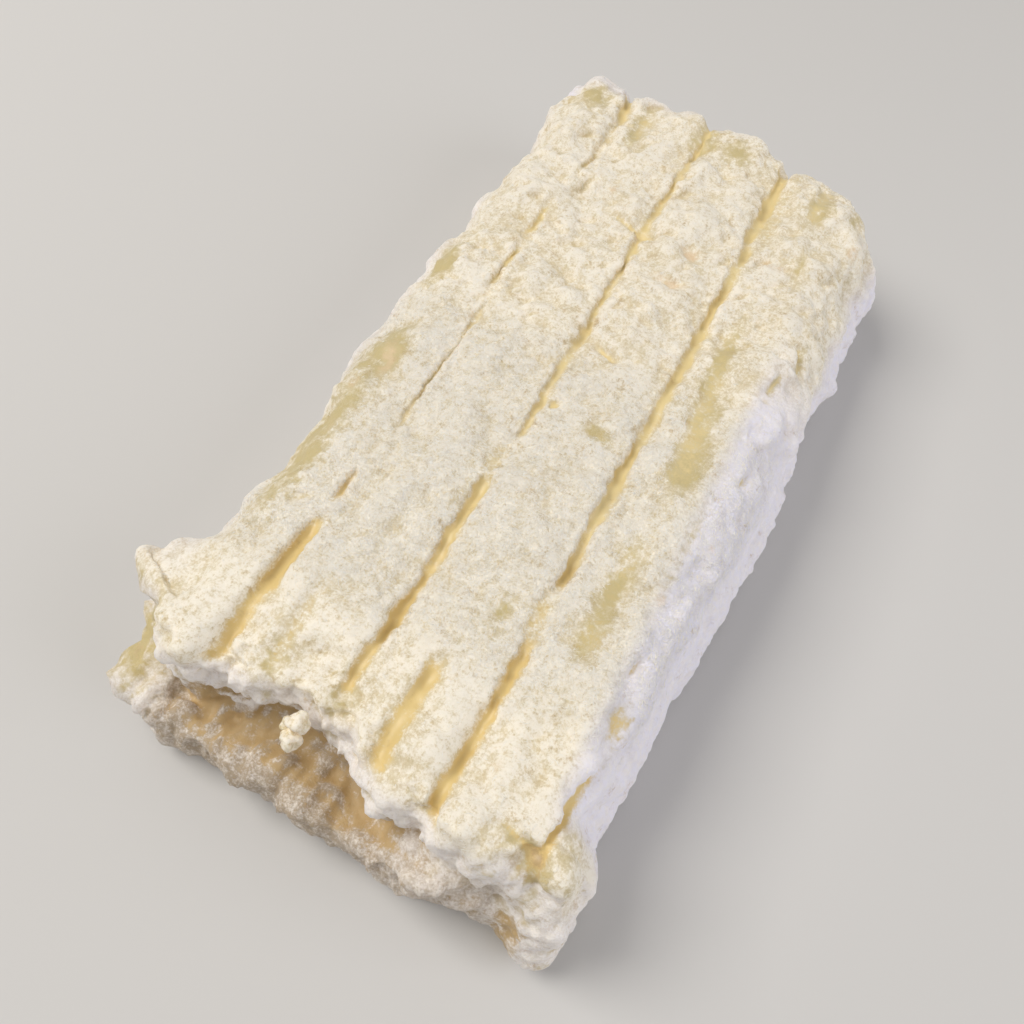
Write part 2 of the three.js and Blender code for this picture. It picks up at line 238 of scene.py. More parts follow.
# Patches where the bloom is thin: centre, half width, half length and strength.
PATCHES = {
    "butter": [
        (-20.2, 57.2, 3.2, 3.2, 0.9),
        (-10.8, 53.0, 1.5, 4.6, 0.8),
        (0.0, 55.5, 2.0, 3.4, 1.0),
        (5.8, 55.6, 2.6, 3.2, 0.7),
        (15.8, 46.0, 1.4, 9.0, 0.25),
        (21.4, 50.4, 1.9, 4.6, 0.8),
        (27.0, 51.5, 1.2, 3.0, 0.5),
        (22.6, 36.5, 1.0, 3.0, 0.5),
        (18.8, 14.0, 1.4, 7.0, 1.0),
        (20.6, 4.0, 1.8, 5.0, 0.7),
        (21.2, -4.0, 2.1, 5.0, 0.9),
        (20.1, -25.0, 1.7, 9.0, 0.9),
        (28.4, 20.6, 0.8, 2.4, 0.6),
        (26.6, 13.4, 0.7, 2.6, 0.6),
        (9.8, -32.5, 1.4, 3.0, 0.5),
        (8.8, -5.0, 2.4, 1.6, 0.6),
        (-22.0, -7.0, 2.8, 6.0, 1.1),
        (-21.0, -6.5, 1.6, 2.4, 0.5),
        (-22.4, -24.0, 2.8, 10.0, 1.1),
        (-23.6, 12.6, 2.2, 5.0, 1.0),
        (-9.4, -49.5, 2.0, 4.0, 0.5),
        (25.4, -14.0, 0.7, 8.0, 0.5),
        (27.0, -38.5, 1.2, 4.0, 0.6),
        (28.2, -52.0, 1.8, 5.0, 0.35),
        (26.2, -57.6, 1.3, 2.2, 0.45),
        (25.3, -54.6, 1.3, 1.5, 0.5),
        (23.0, -53.8, 2.2, 0.8, 0.5),
        (-0.8, -49.6, 2.4, 3.0, 0.5),
        (6.4, -49.0, 1.6, 5.0, 0.6),
        (-28.2, -53.4, 4.8, 5.0, 1.0),
    ],
    "blush": [
        (-14.8, 4.5, 0.8, 2.2, 0.7),
        (-15.0, -27.0, 0.6, 3.0, 1.0),
        (14.0, -17.2, 1.2, 1.4, 0.8),
        (7.6, 30.4, 2.0, 1.6, 0.8),
        (6.8, 23.8, 3.0, 0.9, 0.7),
        (28.6, 44.0, 1.2, 1.8, 0.7),
        (-8.0, 38.0, 1.2, 1.8, 0.6),
        (19.2, 35.0, 2.2, 1.8, 0.6),
        (1.6, 13.0, 0.8, 1.4, 0.6),
        (-20.6, -9.0, 1.2, 2.4, 0.8),
        (-21.6, -5.8, 1.6, 2.2, 0.5),
        (-22.6, -13.0, 1.0, 1.8, 0.7),
        (-21.8, -21.0, 1.0, 2.2, 0.5),
        (-12.0, 1.5, 1.6, 1.0, 0.5),
        (25.6, -22.5, 0.8, 1.2, 0.7),
        (28.0, -13.0, 0.8, 1.4, 0.6),
        (18.0, -48.0, 1.4, 2.0, 0.5),
        (-3.0, -22.0, 1.6, 1.6, 0.4),
        (5.0, -17.0, 1.8, 1.4, 0.4),
    ],
}

# Soft swelling of the whole surface: amplitude, wavelength and phase of each set of waves.
SWELLS = [(0.32, 19, 1.3), (0.26, 8.5, 4.1)]
WAVES = 14
GOLDEN_ANGLE = math.pi * (3 - math.sqrt(5))

# Zones along the length: the near end, the felted middle and the flaky far half.
NEAR_ZONE = (-50, -34)
MIDDLE_STARTS, MIDDLE_ENDS = (-46, -34), (0, 12)
FAR_ZONE = (-6, 14)

# Unevenness of the rind: its sizes, along X, Y and Z where they differ, and some of its heights.
SOFT_SIZE = (3.4, 3.0, 3.0)
GRAIN_SIZE = 1.2
BULGE_SIZE = 4.6
KNOB_SIZE = 2.1
SCOOP_SIZE, SCOOP_DEPTH = (3.6, 1.7, 2.4), 0.6
CREASE_SIZE = (2.6, 7.0, 2.2)
FOLD_SIZE, FOLD_HEIGHT = (2.8, 9.0, 3.0), 0.4
COVER_SIZE, FLECK_SIZE = (3.2, 8.0, 4.0), (1.2, 2.2, 1.6)  # of the bloom's thickness
DENT_SHARE = 0.8

# Dark grey-beige of the slab's front, partly its own colour and partly painted shade: from left to right, and
# its upper limits, which climb on the right.
CRUST_SHADE_STARTS, CRUST_SHADE_CLIMBS, CRUST_SHADE_ENDS = (-26, -21), (2, 18), (22, 25)
CRUST_SHADE_TOP, CRUST_SHADE_RISE = (9.5, 12), (4, 5)
CRUST_SHADE_FADE = 0.35  # share that it loses as it climbs

# Places on the rind, each as the limits between which it begins or ends.
FRONT_FACING, FRONT_TOP = (0.0, 0.5), (12, 17)  # the near end's front: how squarely it faces, and levels
TOE_TOP, TOE_BACK = (9.5, 12), (-59, -57)  # the tan facet: levels, and places along Y
SLAB_FOOT = (4, 7.5)  # levels over which the slab's front grows knobby
TONGUE_CALM = ((-45, 5.5), (19, 3.5))  # the tongue is smooth: middle and spread along Y and up Z
TONGUE_CALM_SIDE = (20.5, 23.5)  # and distances to the left
STEADY_CORNER = (19, 24)  # places along X over which the near right corner grows smoother
LEFT_KNOBS = (18, 23)  # distances to the left over which the knobs grow
FLANK_CREASES = (22, 26)  # places along X over which the creases of the right flank grow
# The right flank's whitish felt of bloom is tinted lavender as painted cool light from the right.
FLANK_SIDE, FLANK_START = (23.5, 26.5), (-53, -47)  # cool felt of the right flank: along X and Y
FAR_SHOULDER = ((6, 24), (13, 18))  # warm far end of that flank: along Y and up Z
# The other walls get the same lavender painted cool light, more weakly.
LEFT_WALL, FAR_WALL = (24, 29), (58, 62)  # cool felt of the other walls: to the left, and along Y
GOLD_ZONE = (15, 40)  # distances towards the near end over which the groove floors turn gold
PATCH_FOOT, PATCH_RAGGED = (5, 8), (0.6, 3.0)  # patches: lowest levels, height and size of their fraying
SCOOP_WAY = (0.8, 0.6)  # cosine and sine of the scoops' turn

# Threads of bloom: how many, their lengths, half thickness, how high their arcs stand over ends that
# are sunk in, how far they bow sideways for their length, and the seed of their draws.
THREADS = 13000
THREAD_LENGTHS = (0.4, 1.2)
THREAD_RADIUS = 0.045
THREAD_LIFT, THREAD_SINK = 0.02, 0.025
THREAD_BOW = 0.3
THREAD_SEED = 7

# Noise: factors that mix a cell's place and salt into its draw, and the gain that brings it to about 1.
HASH_STEPS = np.array([73856093, 19349663, 83492791], dtype=np.int64)
HASH_SALT = 40503
HASH_FACTORS = (0x45D9F3B, 0x45D9F3B, 1)
HASH_BITS = 0xFFFFFFFF
NOISE_GAIN = 1.6
RIPPLE_LINE = (0.37, 0.61)  # where the line of a ripple lies, clear of the noise's corners

# Stage, in metres.
FLOOR_REACH = 3.0
KEY_PLACE, KEY_SIZE, KEY_COLOUR = (-0.46, -0.10, 0.66), 0.45, (1.0, 0.97, 0.92)
FILL_PLACE, FILL_SIZE, FILL_COLOUR = (0.55, 0.02, 0.26), 0.50, (0.94, 0.95, 1.0)
SKY_COLOUR = (1.0, 0.97, 0.93, 1.0)
CLIP_START = 0.005


def size_setting(name, description, size_mm):
    return FloatProperty(name=name, description=description, default=size_mm * MM, unit="LENGTH")


def colour_setting(name, description, colour):
    return FloatVectorProperty(name=name, description=description, default=colour, subtype="COLOR")


class BrickSizes(bpy.types.PropertyGroup):
    """Driving sizes of the brick."""

    height: size_setting("Height", "Flat underside to the crown of the top", 22.2)
    widest_height: size_setting("Widest height", "Level at which the sides bulge furthest", 7.4)
    top_left: size_setting("Top left", "Where the flat top gives way to the left shoulder", -19.2)
    top_right: size_setting("Top right", "Where the flat top gives way to the right shoulder", 22.7)
    left_side: size_setting("Left side", "Furthest bulge of the left side", -28.8)
    right_side: size_setting("Right side", "Furthest bulge of the right side", 33.9)
    far_end: size_setting("Far end", "Furthest bulge of the far end, on the middle groove", 63.0)
    near_lip: size_setting("Near lip", "Edge of the top rind at the near end, on the middle groove", -56.2)
    near_ledge: size_setting("Near ledge", "Front of the lower slab, past the lip", -61.4)
    end_round: size_setting("End rounding", "How far both ends are rounded, along their length", 5.0)
    end_skew: FloatProperty(
        name="End skew", description="How far the ends run out of square, length for width",
        default=-0.145)
    soft_height: size_setting("Soft lumps", "Height of the low, soft lumps all over the rind", 0.32)
    bulge_height: size_setting("Bulges", "Height of the larger bulges by the near lip", 0.75)
    bloom_depth: size_setting("Bloom depth", "Thickness of the felt of bloom", 0.22)


class RindFinish(bpy.types.PropertyGroup):
    """Colours and gloss of the rind."""

    bloom: colour_setting("Bloom", "Thick white bloom", (0.94, 0.88, 0.765))
    cream: colour_setting("Cream", "Bloom where it is thinner", (0.70, 0.60, 0.405))
    butter: colour_setting("Butter", "Yellow rind with hardly any bloom", (0.585, 0.485, 0.25))
    blush: colour_setting("Blush", "Warm tint in dents and by the slits", (0.78, 0.60, 0.40))
    ochre: colour_setting("Ochre", "Bare floors of the grooves", (0.76, 0.62, 0.32))
    gold: colour_setting("Gold", "Bare floors of the grooves at the near end", (0.75, 0.57, 0.25))
    # Brown of the hollow under the lip, partly the paste's own colour and partly painted shade; it also tints
    # torn spots and the tan facet by the foot.
    brown: colour_setting("Brown", "Moist hollow under the lip", (0.52, 0.37, 0.185))
    # Dark grey-beige of the slab's front: partly its own colour, partly painted shade.
    crust: colour_setting("Crust", "Dry front of the lower slab", (0.43, 0.345, 0.25))
    # Whitish felt of bloom on the walls, tinted lavender as painted cool light.
    frost: colour_setting("Frost", "Cool felt of bloom on the sides", (0.86, 0.84, 0.94))
    thread: colour_setting("Thread", "Loose threads of bloom", (0.97, 0.95, 0.90))
    bloom_roughness: FloatProperty(
        name="Bloom roughness", description="Roughness of the bloom", subtype="FACTOR", default=0.62)
    paste_roughness: FloatProperty(
        name="Paste roughness", description="Roughness of bare, waxy paste", subtype="FACTOR",
        default=0.34)


class StageSettings(bpy.types.PropertyGroup):
    """Floor, lights and camera."""

    floor: colour_setting("Floor", "Colour of the floor", (0.62, 0.61, 0.60))
    camera_place: FloatVectorProperty(
        name="Camera place", description="Where the camera stands", subtype="TRANSLATION",
        default=(25.25 * MM, -71.62 * MM, 114.16 * MM))
    heading: FloatProperty(
        name="Heading", description="Camera's turn to the left of the brick's length",
        subtype="ANGLE", default=math.radians(24.18))
    elevation: FloatProperty(
        name="Elevation", description="Camera's slope down to the brick", subtype="ANGLE",
        default=math.radians(59.82))
    roll: FloatProperty(
        name="Roll", description="Camera's turn about its own axis", subtype="ANGLE",
        default=math.radians(4.0))
    lens: FloatProperty(
        name="Lens", description="Focal length", unit="CAMERA", default=30.94)
    key_power: FloatProperty(
        name="Key power", description="Large soft light from the left", unit="POWER", default=4.6)
    fill_power: FloatProperty(
        name="Fill power", description="Cool soft light from the right", unit="POWER", default=1.5)
    sky_strength: FloatProperty(
        name="Sky strength", description="Even light from all round", default=0.35)


class Value:
    """A socket inside a material: arithmetic on it adds Math nodes to the same finish."""

    def __init__(self, finish, socket):
        self.finish = finish
        self.socket = socket

    def math(self, operation, *operands):
        return self.finish.node("ShaderNodeMath", {"operation": operation}, dict(enumerate(operands)))

    def __add__(self, other):
        return self.math("ADD", self, other)

    def __radd__(self, other):
        return self.math("ADD", other, self)

    def __sub__(self, other):
        return self.math("SUBTRACT", self, other)

    def __rsub__(self, other):
        return self.math("SUBTRACT", other, self)

    def __mul__(self, other):
        return self.math("MULTIPLY", self, other)

    def __rmul__(self, other):
        return self.math("MULTIPLY", other, self)

    def __abs__(self):
        return self.math("ABSOLUTE", self)


class Finish:
    """A material under construction."""

    def __init__(self, name):
        self.material = bpy.data.materials.new(name)
        self.material.use_nodes = True
        self.tree = self.material.node_tree
        self.tree.nodes.clear()

    def node(self, kind, settings=None, sockets=None, output=0):
        """Adds a node: its type, its settings, then the values or links of its sockets."""
        node = self.tree.nodes.new(kind)
        for name, setting in (settings or {}).items():
            setattr(node, name, setting)
        for name, value in (sockets or {}).items():
            if isinstance(value, Value):
                self.tree.links.new(value.socket, node.inputs[name])
            else:
                node.inputs[name].default_value = value
        return Value(self, node.outputs[output]) if node.outputs else None

    def mix(self, factor, first, second):
        """Colour that goes from first to second as factor goes from 0 to 1."""
        settings = {"data_type": "RGBA", "clamp_factor": True}
        return self.node("ShaderNodeMix", settings, {0: factor, 6: first, 7: second}, output=2)

    def attribute(self, name):
        return self.node("ShaderNodeAttribute", {"attribute_name": name}, output="Fac")

    def place(self):
        return self.node("ShaderNodeTexCoord", output="Object")

    def mottle(self, place, size_mm, detail=3.0, roughness=0.55, distortion=0.0):
        """Cloudy noise from 0 to 1 whose blotches are about size_mm across."""
        sockets = {"Vector": place, "Scale": 1 / (size_mm * MM), "Detail": detail,
                   "Roughness": roughness, "Distortion": distortion}
        return self.node("ShaderNodeTexNoise", None, sockets)

    def ramp(self, value, low, high):
        """0 below low, 1 above high, eased between."""
        settings = {"interpolation_type": "SMOOTHSTEP"}
        return self.node("ShaderNodeMapRange", settings, {"Value": value, "From Min": low, "From Max": high})


def smoothstep(value, low, high):
    """0 below low, 1 above high, and a cubic ease between."""
    share = np.clip((value - low) / (high - low), 0, 1)
    return share * share * (3 - 2 * share)


def lerp(first, second, share):
    """First at a share of 0, second at 1, in a straight line."""
    return first + (second - first) * share


def bell(value, middle, spread):
    """1 at the middle, falling as e to the minus square of the distance in spreads."""
    return np.exp(-(((value - middle) / spread) ** 2))


def bend(value, bends):
    """Bells along an edge, summed: each has its place, spread and shift."""
    return sum(shift * bell(value, at, spread) for at, spread, shift in bends)


def band(value, shape, lift):
    """A bell with its level, spread and height, lifted."""
    level, spread, height = shape
    return height * bell(value, level + lift, spread)


def balls(points, spots):
    """Round bells, summed: each has its centre, radius and height."""
    return sum(height * bell(np.linalg.norm(points - np.array(middle), axis=1), 0, radius)
               for middle, radius, height in spots)


def curve_away(distance, rate):
    """0 before a point, and rate times the square of the distance past it."""
    return rate * np.maximum(0, distance) ** 2


def hashed(cells, salt):
    """Whole-number cells to even draws from 0 to 1: the bits are multiplied, folded and masked."""
    mixed = ((cells * HASH_STEPS).sum(-1) + salt * HASH_SALT) & HASH_BITS
    for factor in HASH_FACTORS:
        mixed = ((mixed ^ (mixed >> 16)) * factor) & HASH_BITS
    return mixed / 2.0 ** 32


def hashed_vectors(cells, salt):
    return np.stack([hashed(cells, 3 * salt + axis) for axis in range(3)], axis=-1)


def soft_noise(points, salt):
    """Gradient noise, about -1 to 1: slopes drawn at whole-number corners, eased between them."""
    cells = np.floor(points).astype(np.int64)
    part = points - cells
    ease = part ** 3 * (part * (6 * part - 15) + 10)
    total = np.zeros(len(points))
    for corner in itertools.product((0, 1), repeat=3):
        corner = np.array(corner)
        slope = 2 * hashed_vectors(cells + corner, salt) - 1
        weight = np.where(corner, ease, 1 - ease).prod(-1)
        total += weight * ((part - corner) * slope).sum(-1)
    return NOISE_GAIN * total


def ripple(along, salt):
    """Soft noise along one line."""
    across, up = RIPPLE_LINE
    return soft_noise(np.stack([along, 0 * along + across, 0 * along + up], axis=-1), salt)


def edge_ripple(along, height, length, salt):
    """Soft noise along an edge, of a given height and length."""
    return height * ripple(along / length, salt)


def groove_ripple(along, number, height, length, salt, step):
    """Soft noise along a groove, moved on by step for each groove before it."""
    return height * ripple(along / length + step * number, salt)


def rough_noise(points, salt, octaves=3):
    """Soft noise at halving sizes and heights, summed."""
    return sum(soft_noise(points * 2 ** n, salt + n) / 2 ** n for n in range(octaves))


def wide_cells(side):
    """Faces UNDER_STEP lines wide each way: the ring of kept points round each, in order."""
    step = np.arange(UNDER_STEP)
    none, full = 0 * step, 0 * step + UNDER_STEP
    ring = np.block([[step, full, full - step, none], [none, step, full, full - step]])
    corners = UNDER_STEP * np.indices(np.array(side.shape) // UNDER_STEP).reshape(2, -1, 1)
    across, along = corners + ring[:, None, :]
    return [cell[cell >= 0].tolist() for cell in side[across, along]]


def lattice(columns, rows, courses):
    """Surface points of a box lattice, as whole-number places, and the faces that close it: small
    quads on the top and the walls, and wide cells on the underside."""
    shape = (columns + 1, rows + 1, courses + 1)
    shell = np.ones(shape, bool)
    shell[1:-1, 1:-1, :-1] = False
    shell[UNDER_STEP:-1:UNDER_STEP, UNDER_STEP:-1:UNDER_STEP, 0] = True
    names = np.full(shape, -1)
    names[shell] = np.arange(shell.sum())
    faces = [cell[::-1] for cell in wide_cells(names[:, :, 0])]
    for axis, end in itertools.product(range(3), (0, -1)):
        if (axis, end) == (2, 0):
            continue
        side = names.take(end, axis)
        loop = [side[:-1, :-1], side[1:, :-1], side[1:, 1:], side[:-1, 1:]]
        inward = (axis == 1) != (end == 0)
        faces += np.stack(loop[::-1] if inward else loop, axis=-1).reshape(-1, 4).tolist()
    return np.argwhere(shell), faces


def edge_place(index, rounded_low, flat, rounded_high):
    """Place along a lattice axis: turn round the edge from -1 to 1, and share of the flat part."""
    low = np.minimum(index - rounded_low, 0) / rounded_low
    high = np.maximum(index - rounded_low - flat, 0) / rounded_high
    return low + high, np.clip((index - rounded_low) / max(flat, 1), 0, 1)


def crowded_lines(low, high, count):
    """Lines from low to high, closer at the main grooves, by inverting a running sum."""
    fine = np.linspace(low, high, CROWDING_SAMPLES * count)
    density = 1 + bend(fine, [(x, *CROWDING) for x in MAIN_GROOVES])
    running = np.cumsum(density) - density[0]
    return np.interp(np.linspace(0, running[-1], count + 1), running, fine)


class Brick:
    """The brick's surface in millimetres."""

    def __init__(self, sizes):
        for name in sizes.__annotations__:
            value = getattr(sizes, name)
            setattr(self, name, value if name == "end_skew" else value / MM)

    def left(self, y):
        """Left side: its furthest bulge, bent."""
        return self.left_side + bend(y, LEFT_BENDS)

    def right(self, y):
        """Right side: its furthest bulge, tapered, bent and rippled."""
        start, rate = RIGHT_TAPER
        bulge = self.right_side - curve_away(start - y, rate)
        return bulge + bend(y, RIGHT_BENDS) + edge_ripple(y, *RIGHT_RIPPLE)

    def far(self, x):
        """Far end: a skewed line, bent, that curves away at the right corner."""
        start, rate = FAR_CORNER
        corner = curve_away(x - start, rate)
        return self.far_end + self.end_skew * x - corner + bend(x, FAR_BENDS)

    def lip(self, x):
        """Near lip: a skewed line, bent and rippled, that curves away at the left corner."""
        start, rate = LIP_CORNER
        corner = curve_away(self.top_left + start - x, rate)
        edge = self.near_lip + self.end_skew * x + corner + bend(x, LIP_BENDS)
        return edge + edge_ripple(x, *LIP_RIPPLE)

    def ledge(self, x):
        """Slab's front: a line skewed up to a point, bent and rippled, with its left corner curved away."""
        start, rate = LEDGE_CORNER
        corner = curve_away(start - x, rate)
        until, slope = LEDGE_SKEW
        edge = self.near_ledge + slope * np.minimum(x, until) + corner + bend(x, LEDGE_BENDS)
        return edge + edge_ripple(x, *LEDGE_RIPPLE)

    def smooth(self, places):
        """Each lattice point is thrown out from a flat core along a rounded direction, whose
        parts have a p-norm of 1; the near end is then shifted along Y into lip, hollow and ledge."""
        column, row, course = places.T
        across, across_share = edge_place(column, SHOULDER_COLUMNS, FLAT_COLUMNS, SHOULDER_COLUMNS)
        along, along_share = edge_place(row, END_ROWS, FLAT_ROWS, END_ROWS)
        up, _ = edge_place(course, FOOT_COURSES, 0, SHOULDER_COURSES)
        turns = np.stack([across, along, up], axis=-1)
        round_parts = np.tan(turns * math.pi / 4)
        crisp = lerp(SIDE_SQUARENESS, LIP_SQUARENESS, smoothstep(-along, *NEAR_BLEND))
        power = lerp(FOOT_SQUARENESS, crisp, smoothstep(up, *FOOT_BLEND))
        length = (np.abs(round_parts) ** power[:, None]).sum(-1) ** (1 / power)
        out = round_parts / length[:, None]

        rough_y = lerp(self.near_lip, self.far_end, along_share)
        lines = crowded_lines(self.top_left, self.top_right, FLAT_COLUMNS)
        core = lines[np.rint(across_share * FLAT_COLUMNS).astype(int)]
        left_reach = self.top_left - self.left(rough_y)
        right_reach = self.right(rough_y) - self.top_right
        x = core + np.where(out[:, 0] < 0, left_reach, right_reach) * out[:, 0]

        low = self.lip(x) + self.end_round
        high = self.far(x) - self.end_round
        y = lerp(low, high, along_share) + self.end_round * out[:, 1]
        rise = np.where(out[:, 2] < 0, self.widest_height, self.height - self.widest_height)
        z = self.widest_height + rise * out[:, 2]
        shift = self.near_end(x, z) * smoothstep(-out[:, 1], *END_FACING)
        return np.stack([x - self.tongue(x, y, z), y + shift[0], z + shift[1]], axis=-1)

    def tongue(self, x, y, z):
        """How far the left shoulder is drawn out to the left: most at one level, with a rippled rim that
        drops off slowly at its far end and sharply at its near one."""
        near, far, level, reach = TONGUE
        near_ease, far_ease = TONGUE_EASES
        run = smoothstep(y, near, near + near_ease) * (1 - smoothstep(y, far - far_ease, far))
        rim = reach + edge_ripple(y, *TONGUE_RIPPLE)
        return rim * run * bell(z, level, TONGUE_THICK) * smoothstep(-x, *TONGUE_ROOT)

    def near_end(self, x, z):
        """Shifts along Y and Z: the lower slab stands out, a hollow runs in under the lip, and a gutter
        lies between the hollow and the slab's rim. On the right the rim climbs until it meets the lip, the
        hollow and the gutter close, and the corner slopes."""
        climb = RIM_CLIMB * smoothstep(x, *RIM_CLIMBS) * (1 - smoothstep(x, *CORNER))
        slope = CORNER_SLOPE * smoothstep(x, *CORNER)
        low, high = SLAB_LEVELS
        ledge = (self.ledge(x) - self.lip(x)) * (1 - smoothstep(z, low + climb, high + climb + slope))
        hollow = 1 - HOLLOW_CLOSED * smoothstep(x, *HOLLOW_CLOSES)
        gutter = hollow * smoothstep(x, *GUTTER_OPENS)
        rim = 1 - smoothstep(x, *RIM_FADES)
        return np.stack([ledge + hollow * band(z, HOLLOW, HOLLOW_FOLLOWS * climb),
                         rim * band(z, RIM, climb) + gutter * band(z, GUTTER, climb)])

    def gutter(self, points):
        """How deep under the lip a point lies, from 0 to 1, which sets the brown there, partly the paste's
        own colour and partly painted shade: full from the hollow's back to half the way out to the slab's
        rim."""
        x, y, z = points.T
        lip = self.lip(x)
        share = (lip - y) / (lip - self.ledge(x))
        right = smoothstep(x, *BROWN_SHADE_CLIMBS)
        fades, ends = (limit - shift * right for limit, shift in zip(BROWN_SHADE_FRONT, BROWN_SHADE_FRONT_SHIFT))
        inside = smoothstep(share, *BROWN_SHADE_BACK) * (1 - smoothstep(share, fades, ends))
        low, high = (limit + BROWN_SHADE_RISE * right for limit in BROWN_SHADE_FLOOR)
        level = smoothstep(z, low, high) * (1 - smoothstep(z, *BROWN_SHADE_ROOF))
        shut = HOLLOW_CLOSED * smoothstep(x, *BROWN_SHADE_ENDS)
        return inside * level * smoothstep(x, *BROWN_SHADE_STARTS) * (1 - shut)

    def on_top(self, points, normals):
        """1 on the flat top, 0 on the walls."""
        low, high = (self.height - depth for depth in TOP_DEPTHS)
        return smoothstep(points[:, 2], low, high) * smoothstep(normals[:, 2], *TOP_FACING)

    def grooves(self, points):
        """Depth of the troughs, and how bare their floors are from 0 to 1. Across, a trough is steep
        on its left and eases out on its right; along, it wanders, narrows and fills in places, and
        its edges are ragged."""
        x, y, _ = points.T
        depth = np.zeros(len(points))
        bare = np.zeros(len(points))
        frayed, fray_size = GROOVE_RAGGED
        ragged = frayed * rough_noise(points / fray_size, 19, 2)
        wider, ease = GROOVE_RIGHT
        for number, (near_x, far_x, start, end, half, deep) in enumerate(GROOVES):
            middle = lerp(near_x, far_x, (y - start) / (end - start))
            wander = sum(groove_ripple(y, number, *change) for change in WANDERS)
            width = half * (1 + groove_ripple(y, number, *WIDTH_CHANGE))
            fill = np.clip(GROOVE_FILL + groove_ripple(y, number, *FILL_CHANGE), *GROOVE_FILL_LIMITS)
            run = smoothstep(y, start, start + GROOVE_FADE) * (1 - smoothstep(y, end - GROOVE_FADE, end))
            across = (x - middle - wander + ragged) / width
            shape = np.where(across < 0, np.exp(-np.abs(across) ** GROOVE_LEFT),
                             np.exp(-np.abs(across / wider) ** ease))
            depth = np.maximum(depth, run * fill * deep * shape)
            bare = np.maximum(bare, run * fill * min(1, deep) * shape)
        return depth, bare

    def swell(self, points):
        """Plane waves whose directions step round by the golden angle."""
        wave = np.arange(WAVES)
        rise = 1 - (2 * wave + 1) / WAVES
        flat = np.sqrt(1 - rise ** 2)
        ways = np.stack([flat * np.cos(wave * GOLDEN_ANGLE), flat * np.sin(wave * GOLDEN_ANGLE), rise])
        way = points @ ways
        return sum(amplitude * np.sin(2 * math.pi * way / wavelength + phase * (wave + 1) ** 2).sum(-1)
                   for amplitude, wavelength, phase in SWELLS) / math.sqrt(WAVES / 2)

    def underside(self, points):
        """Wire marks on the flat it rests on, as a rise."""
        x, y, z = points.T
        half, deep = UNDERSIDE_GROOVE
        run = (1 - smoothstep(np.abs(y), *UNDERSIDE_RUN)) * (z < UNDERSIDE_TOP)
        return sum(deep * run * np.exp(-np.abs((x - groove) / half) ** 3) for groove in UNDERSIDE_GROOVES)

    def dents(self, points):
        """Short cuts and dents, each a bell along its width and a flatter one along its length."""
        x, y, _ = points.T
        depth = np.zeros(len(points))
        for middle_x, middle_y, half_length, half_width, turn, deep in DENTS:
            cos, sin = math.cos(math.radians(turn)), math.sin(math.radians(turn))
            along = (x - middle_x) * cos + (y - middle_y) * sin
            across = (y - middle_y) * cos - (x - middle_x) * sin
            depth = np.maximum(depth, deep * np.exp(-(along / half_length) ** 4 - (across / half_width) ** 2))
        return depth

    def patches(self, points, kind):
        """Patches from 0 to 1: bells across and along, summed and frayed by noise."""
        x, y, z = points.T
        frayed, fray_size = PATCH_RAGGED
        ragged = 1 + frayed * rough_noise(points / fray_size, 31)
        total = sum(strength * np.exp(-((x - middle_x) / half_x) ** 2 - ((y - middle_y) / half_y) ** 2)
                    for middle_x, middle_y, half_x, half_y, strength in PATCHES[kind])
        return np.clip(total * ragged, 0, 1) * smoothstep(z, *PATCH_FOOT)


def vertex_normals(mesh):
    normals = np.empty(3 * len(mesh.vertices), np.float32)
    mesh.vertex_normals.foreach_get("vector", normals)
    return normals.reshape(-1, 3).astype(float)


def set_points(mesh, points_mm):
    mesh.vertices.foreach_set("co", ((points_mm - CENTRE) * MM).astype(np.float32).ravel())
    mesh.update()


def set_fields(mesh, fields):
    for name, field in fields.items():
        mesh.attributes.new(name, "FLOAT", "POINT").data.foreach_set("value", field.astype(np.float32))


def smooth_mesh(name, points, faces):
    mesh = bpy.data.meshes.new(name)
    mesh.from_pydata(points.reshape(-1, 3).tolist(), [], faces)
    mesh.polygons.foreach_set("use_smooth", np.ones(len(faces), bool))
    return mesh


def formed_mesh(brick):
    """The smooth brick with grooves, lumps and swells along its normals, and wire marks underneath. With the
    mesh come its points and, for each, how far it is on the top, clear of the foot and on a bare floor."""
    places, faces = lattice(FLAT_COLUMNS + 2 * SHOULDER_COLUMNS, FLAT_ROWS + 2 * END_ROWS,
                            FOOT_COURSES + SHOULDER_COURSES)
    points = brick.smooth(places)
    mesh = smooth_mesh("cheese_rind", points, faces)
    set_points(mesh, points)

    normals = vertex_normals(mesh)
    top = brick.on_top(points, normals)
    clear = smoothstep(points[:, 2], *FOOT_CLEAR)
    depth, bare = brick.grooves(points)
    crown = STRIP_CROWN * bend(points[:, 0], [(x, STRIP_SPREAD, 1) for x in MAIN_GROOVES])
    height = balls(points, LUMPS) + brick.swell(points) - top * (depth + crown)
    formed = points + normals * (clear * height)[:, None]
    formed[:, 2] += brick.underside(points)
    set_points(mesh, formed)
    return mesh, formed, top, clear, bare


def crust_and_shade_share(x, z, front):
    """How far the slab's front is dark grey-beige, from 0 to 1, partly its own colour and partly painted
    shade: up to a level that climbs on the right.
    """
    climb = smoothstep(x, *CRUST_SHADE_CLIMBS)
    fades, ends = (limit + rise * climb for limit, rise in zip(CRUST_SHADE_TOP, CRUST_SHADE_RISE))
    crust = front * (1 - smoothstep(z, fades, ends)) * (1 - CRUST_SHADE_FADE * climb)
    return crust * smoothstep(x, *CRUST_SHADE_STARTS) * (1 - smoothstep(x, *CRUST_SHADE_ENDS))


